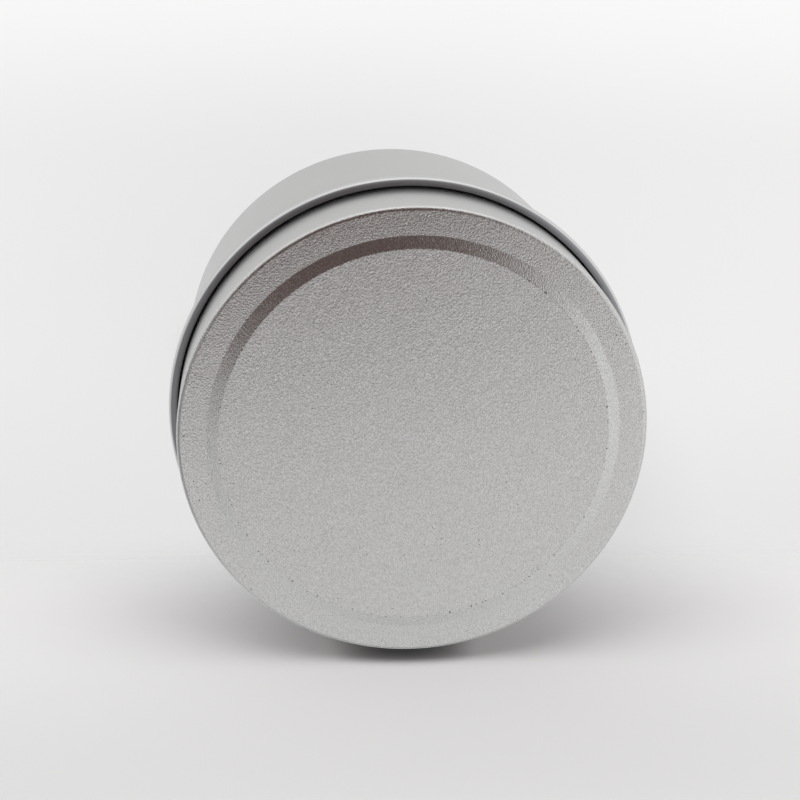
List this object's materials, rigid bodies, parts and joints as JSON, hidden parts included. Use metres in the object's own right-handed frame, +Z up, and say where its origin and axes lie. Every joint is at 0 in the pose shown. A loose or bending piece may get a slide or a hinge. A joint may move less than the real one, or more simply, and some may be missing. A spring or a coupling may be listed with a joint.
{
  "type": "candle tin",
  "caption": "Round slip-lid tin with a poured candle: drawn body with rolled rim, lift-off lid with raised panel and rolled hem, wax, and a wick held by a metal tab.",
  "frame": {"origin": "centre of the foot ring, on the surface that the upright tin stands on", "axes": "+Z up along the axis that every piece is turned about, from the base to the lid; X and Y lie in the standing surface and are alike"},
  "size_m": [0.0806, 0.0806, 0.0541],
  "materials": {
    "body_tinplate": "satin tinplate, fine even grain",
    "lid_tinplate": "satin tinplate, fine sand-like stipple on the top, smooth skirt",
    "wax": "soft-sheen ivory wax, slightly uneven top",
    "wick_cotton": "braided cotton, lightly waxed",
    "tab_steel": "plain bright steel",
    "sticker_foam": "matt white adhesive foam"
  },
  "bodies": {
    "tin": {"tin_body": "body_tinplate", "wax": "wax", "wick": "wick_cotton", "wick_tab": "tab_steel", "wick_sticker": "sticker_foam"},
    "lid": {"lid": "lid_tinplate"}
  },
  "joints": [
    {"name": "lid_lift", "type": "slide", "parent": "tin", "child": "lid", "axis": [0, 0, 1], "range_m": [0, 0.035]}
  ]
}
